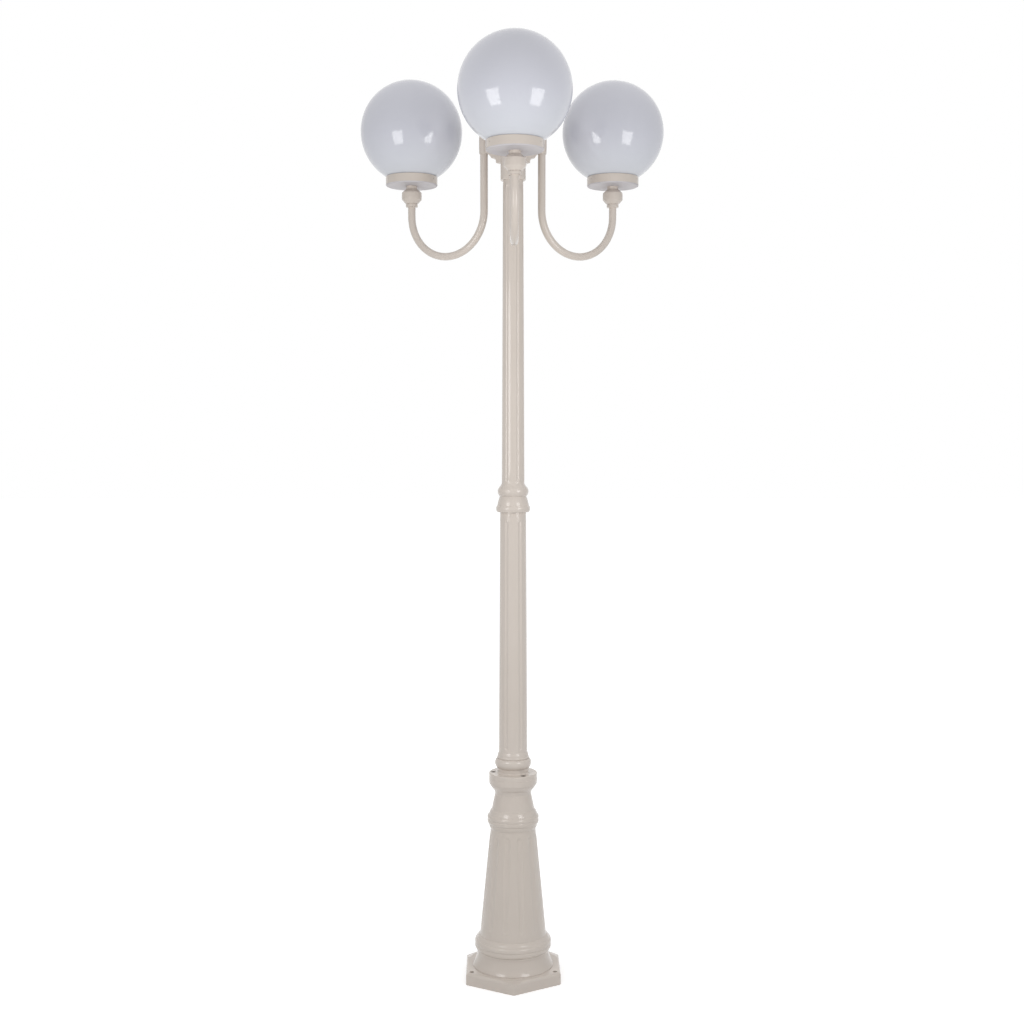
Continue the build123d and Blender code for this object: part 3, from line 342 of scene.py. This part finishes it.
finishes = {
    "cream_paint": cream_paint("cream_powder_coat"),
    "cream_screw": cream_paint("cream_screw_coat", SCREW_SHADE),
    "black_steel": metal("black_oxide_steel", screen(88, 80, 74), screen(62, 56, 52), 0.32, 0.5),
    "zinc_steel": metal("zinc_plated_steel", screen(205, 204, 198), screen(180, 180, 176), 0.22, 0.38),
    "white_disc": white_disc(),
    "rubber": rubber(),
    "white_ceramic": ceramic(),
    "brass": metal("bright_brass", screen(226, 196, 122), screen(205, 172, 98), 0.18, 0.32),
    "opal_globe": opal(),
    "zinc_cap": metal("aluminium_lamp_cap", screen(214, 214, 212), screen(192, 192, 190), 0.2, 0.34),
    "frosted_glass": frosted_glass(),
}

for part in frame["record"]["subparts"]:
    node = frame["nodes"][part["node"]]
    node.data.materials.clear()
    node.data.materials.append(finishes[part["material_slot"]])


# ---------------------------------------------------------------- mesh helpers
def placed(name, data):
    """New object in the scene for a mesh, a light or a camera."""
    made = bpy.data.objects.new(name, data)
    bpy.context.scene.collection.objects.link(made)
    return made


def around(axis, radius, turn, height):
    """Point at a radius, a turn in radians and a height about an upright axis."""
    return (axis[0] + radius * math.cos(turn), axis[1] + radius * math.sin(turn), height)


def ring_faces(rows, columns, closed=False):
    """Faces from each ring of points to the next one, and where closed from the last to the first."""
    faces = []
    for row in range(rows if closed else rows - 1):
        here, above = row * columns, (row + 1) % rows * columns
        for column in range(columns):
            after = (column + 1) % columns
            faces.append((here + column, here + after, above + after, above + column))
    return faces


def smooth_piece(name, points, faces, materials, numbers, sharp_angle):
    """Mesh object with each face's material by number, smooth but for edges above the sharp angle."""
    mesh = bpy.data.meshes.new(name)
    mesh.from_pydata(points, [], faces)
    for material in materials:
        mesh.materials.append(material)
    for face, number in zip(mesh.polygons, numbers):
        face.material_index = number
        face.use_smooth = True
    mesh.set_sharp_from_angle(angle=math.radians(sharp_angle))
    return placed(name, mesh)


# ---------------------------------------------------------------- screw caps of the lamps
def cap_rows(length, radius):
    """A screw cap's rings from its contact up, as (height, radius, thread share, material number)."""
    rows = [
        (0.0, CONTACT_TIP_RADIUS, 0.0, CONTACT),
        (0.0, CONTACT_FLAT_RADIUS, 0.0, CONTACT),
        (CAP_EDGE, CONTACT_RADIUS, 0.0, CONTACT),
        (INSULATOR_FOOT_HEIGHT, INSULATOR_FOOT_RADIUS, 0.0, INSULATOR),
        (INSULATOR_TOP_HEIGHT, INSULATOR_TOP_SHARE * radius, 0.0, INSULATOR),
        (INSULATOR_TOP_HEIGHT + CAP_EDGE, SHELL_FOOT_SHARE * radius, 0.0, SHELL),
        (SHELL_SHOULDER_HEIGHT, SHELL_SHOULDER_SHARE * radius, 0.0, SHELL),
    ]
    foot = SHELL_SHOULDER_HEIGHT + THREAD_FOOT_GAP
    top = length - THREAD_TOP_GAP
    count = int((top - foot) / THREAD_ROW_STEP)
    for step in range(count + 1):
        share = step / count
        fade = min(1.0, THREAD_FADE * share, THREAD_FADE * (1 - share))
        rows.append((foot + (top - foot) * share, radius, fade, SHELL))
    rows += [
        (top + GROOVE_START, GROOVE_SHARE * radius, 0.0, SHELL),
        (top + GROOVE_END, GROOVE_SHARE * radius, 0.0, SHELL),
        (top + RIM_START, radius, 0.0, SHELL),
        (length - CAP_EDGE, radius, 0.0, SHELL),
        (length, RIM_EDGE_SHARE * radius, 0.0, SHELL),
    ]
    return rows


def lamp_cap(side, materials):
    """Aluminium screw cap with a rolled thread, its black insulator and its solder contact."""
    low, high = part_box(f"lamp_cap_{side}")
    axis = (low + high) / 2
    rows = cap_rows(high.z - low.z, (high.x - low.x) / 2)
    points = []
    for height, radius, share, _ in rows:
        for column in range(CAP_COLUMNS):
            turn = 2 * math.pi * column / CAP_COLUMNS
            wave = 0.5 - 0.5 * math.cos(2 * math.pi * height / THREAD_PITCH - turn)
            points.append(around(axis, radius - share * THREAD_DEPTH * wave, turn, low.z + height))
    faces = ring_faces(len(rows), CAP_COLUMNS)
    numbers = [row[-1] for row in rows[1:] for _ in range(CAP_COLUMNS)]
    faces.append(tuple(reversed(range(CAP_COLUMNS))))
    numbers.append(CONTACT)
    faces.append(tuple(range(len(points) - CAP_COLUMNS, len(points))))
    numbers.append(SHELL)
    made = smooth_piece(f"screw_cap_{side}", points, faces, materials, numbers, CAP_SHARP_ANGLE)
    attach(made, f"lamp_{side}")
    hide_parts(f"lamp_cap_{side}")


cap_materials = (finishes["zinc_cap"], finishes["zinc_steel"], insulator_glass())
for side in SIDES:
    lamp_cap(side, cap_materials)


# ---------------------------------------------------------------- twin beads of the pedestal's two rings
def arc_points(start, end, half_turn):
    """Points as (radius, height) from start until just before end, on an arc that curves outwards."""
    run, rise = end[0] - start[0], end[1] - start[1]
    chord = math.hypot(run, rise)
    arc_radius = chord / 2 / math.sin(half_turn)
    depth = arc_radius * math.cos(half_turn)
    centre_radius = (start[0] + end[0]) / 2 - rise / chord * depth
    centre_height = (start[1] + end[1]) / 2 + run / chord * depth
    first = math.atan2(start[1] - centre_height, start[0] - centre_radius)
    points = []
    for step in range(BEAD_ROWS):
        angle = first + 2 * half_turn * step / BEAD_ROWS
        radius = centre_radius + arc_radius * math.cos(angle)
        points.append((radius, centre_height + arc_radius * math.sin(angle)))
    return points


def twin_bead(name, low, high, radius, bulge, half_turn):
    """Closed ring with two rounded beads, one above the other, laid over one ring of the pedestal."""
    middle = (radius + bulge + BEAD_LIFT, (low + high) / 2)
    outline = arc_points((radius, low), middle, math.radians(half_turn))
    outline += arc_points(middle, (radius, high), math.radians(half_turn))
    outline += [(radius, high), (radius - BEAD_SUNK, high), (radius - BEAD_SUNK, low)]
    points = []
    for reach, height in outline:
        for column in range(BEAD_COLUMNS):
            points.append(around((0.0, 0.0), reach, 2 * math.pi * column / BEAD_COLUMNS, height))
    faces = ring_faces(len(outline), BEAD_COLUMNS, closed=True)
    numbers = [0] * len(faces)
    made = smooth_piece(name, points, faces, [finishes["cream_paint"]], numbers, BEAD_SHARP_ANGLE)
    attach(made, "post")


twin_bead("foot_twin_bead", **FOOT_BEADS)
twin_bead("neck_twin_bead", **NECK_BEADS)


# ---------------------------------------------------------------- stage
def floor_finish():
    """Pale floor that looks white and still takes the shadow. It glows more away from the post."""
    look = Look("pale_studio_floor")
    look.colour(look.noise(scale=0.8, detail=2.0), tones(screen(244, 244, 244), screen(246, 246, 246)))
    look.set(roughness=0.9, specular_ior_level=0.1, emission_color=WHITE)
    reach = look.add("ShaderNodeVectorMath", operation="LENGTH")
    look.link(look.place, reach.inputs[0])
    level = look.spread(
        reach.outputs["Value"], FLOOR_GLOW_NEAR, FLOOR_GLOW_FAR, FLOOR_GLOW_START, FLOOR_GLOW_END
    )
    glow = look.add("ShaderNodeMath", operation="MULTIPLY")
    look.link(seen_directly(look.tree), glow.inputs[0])
    look.link(level, glow.inputs[1])
    look.link(glow.outputs[0], look.shader.inputs["Emission Strength"])
    return look.material


def floor():
    half = FLOOR_HALF
    corners = [(-half, -half, 0), (half, -half, 0), (half, half, 0), (-half, half, 0)]
    mesh = bpy.data.meshes.new("studio_floor")
    mesh.from_pydata(corners, [], [(0, 1, 2, 3)])
    mesh.materials.append(floor_finish())
    made = placed("studio_floor", mesh)


def background(tree, colour, strength):
    node = tree.nodes.new("ShaderNodeBackground")
    node.inputs["Color"].default_value = colour
    node.inputs["Strength"].default_value = strength
    return node.outputs["Background"]


def world():
    """White where the camera, a reflection or a refraction looks, and a softer light on the parts."""
    made = bpy.data.worlds.new("studio")
    bpy.context.scene.world = made
    made.use_nodes = True
    tree = made.node_tree
    tree.nodes.clear()
    mix = tree.nodes.new("ShaderNodeMixShader")
    out = tree.nodes.new("ShaderNodeOutputWorld")
    tree.links.new(seen_directly(tree), mix.inputs[0])
    tree.links.new(background(tree, WORLD_COLOUR, WORLD_LEVEL), mix.inputs[1])
    tree.links.new(background(tree, WHITE, 1.0), mix.inputs[2])
    tree.links.new(mix.outputs[0], out.inputs["Surface"])


def area_light(name, angle, distance, height, width, tall, power, aim_height, glossy):
    """Soft box at an angle from the camera's side of the post, turned to a height on the post's axis."""
    data = bpy.data.lights.new(name, "AREA")
    data.shape = "RECTANGLE"
    data.size = width
    data.size_y = tall
    data.energy = power
    made = placed(name, data)
    turn = math.radians(angle)
    made.location = (distance * math.sin(turn), -distance * math.cos(turn), height)
    made.rotation_mode = "QUATERNION"
    made.rotation_quaternion = (Vector((0, 0, aim_height)) - made.location).to_track_quat("-Z", "Y")
    made.visible_glossy = glossy


def lights():
    for name, angle in (("softbox_left", -SOFTBOX_ANGLE), ("softbox_right", SOFTBOX_ANGLE)):
        area_light(
            name,
            angle=angle,
            distance=SOFTBOX_DISTANCE,
            height=SOFTBOX_HEIGHT,
            width=SOFTBOX_WIDTH,
            tall=SOFTBOX_TALL,
            power=SOFTBOX_POWER,
            aim_height=SOFTBOX_HEIGHT,
            glossy=True,
        )
    area_light(
        "back_fill",
        angle=BACK_ANGLE,
        distance=BACK_DISTANCE,
        height=BACK_HEIGHT,
        width=BACK_SIDE,
        tall=BACK_SIDE,
        power=BACK_POWER,
        aim_height=BACK_HEIGHT,
        glossy=False,
    )
    area_light(
        "top_fill",
        angle=0,
        distance=0,
        height=TOP_HEIGHT,
        width=TOP_SIDE,
        tall=TOP_SIDE,
        power=TOP_POWER,
        aim_height=0,
        glossy=False,
    )


def camera():
    data = bpy.data.cameras.new("photo_camera")
    data.sensor_width = SENSOR_WIDTH
    data.lens = FOCAL_PIXELS / IMAGE_SIDE * SENSOR_WIDTH
    data.clip_start = CAMERA_NEAR
    data.clip_end = CAMERA_FAR
    made = placed("photo_camera", data)
    made.location = (
        -CAMERA_DISTANCE * math.sin(CAMERA_ORBIT),
        -CAMERA_DISTANCE * math.cos(CAMERA_ORBIT),
        CAMERA_HEIGHT,
    )
    made.rotation_euler = (math.pi / 2 + CAMERA_TILT, 0.0, CAMERA_YAW - CAMERA_ORBIT)
    bpy.context.scene.camera = made


floor()
world()
lights()
camera()
bpy.context.scene.view_settings.view_transform = "Standard"
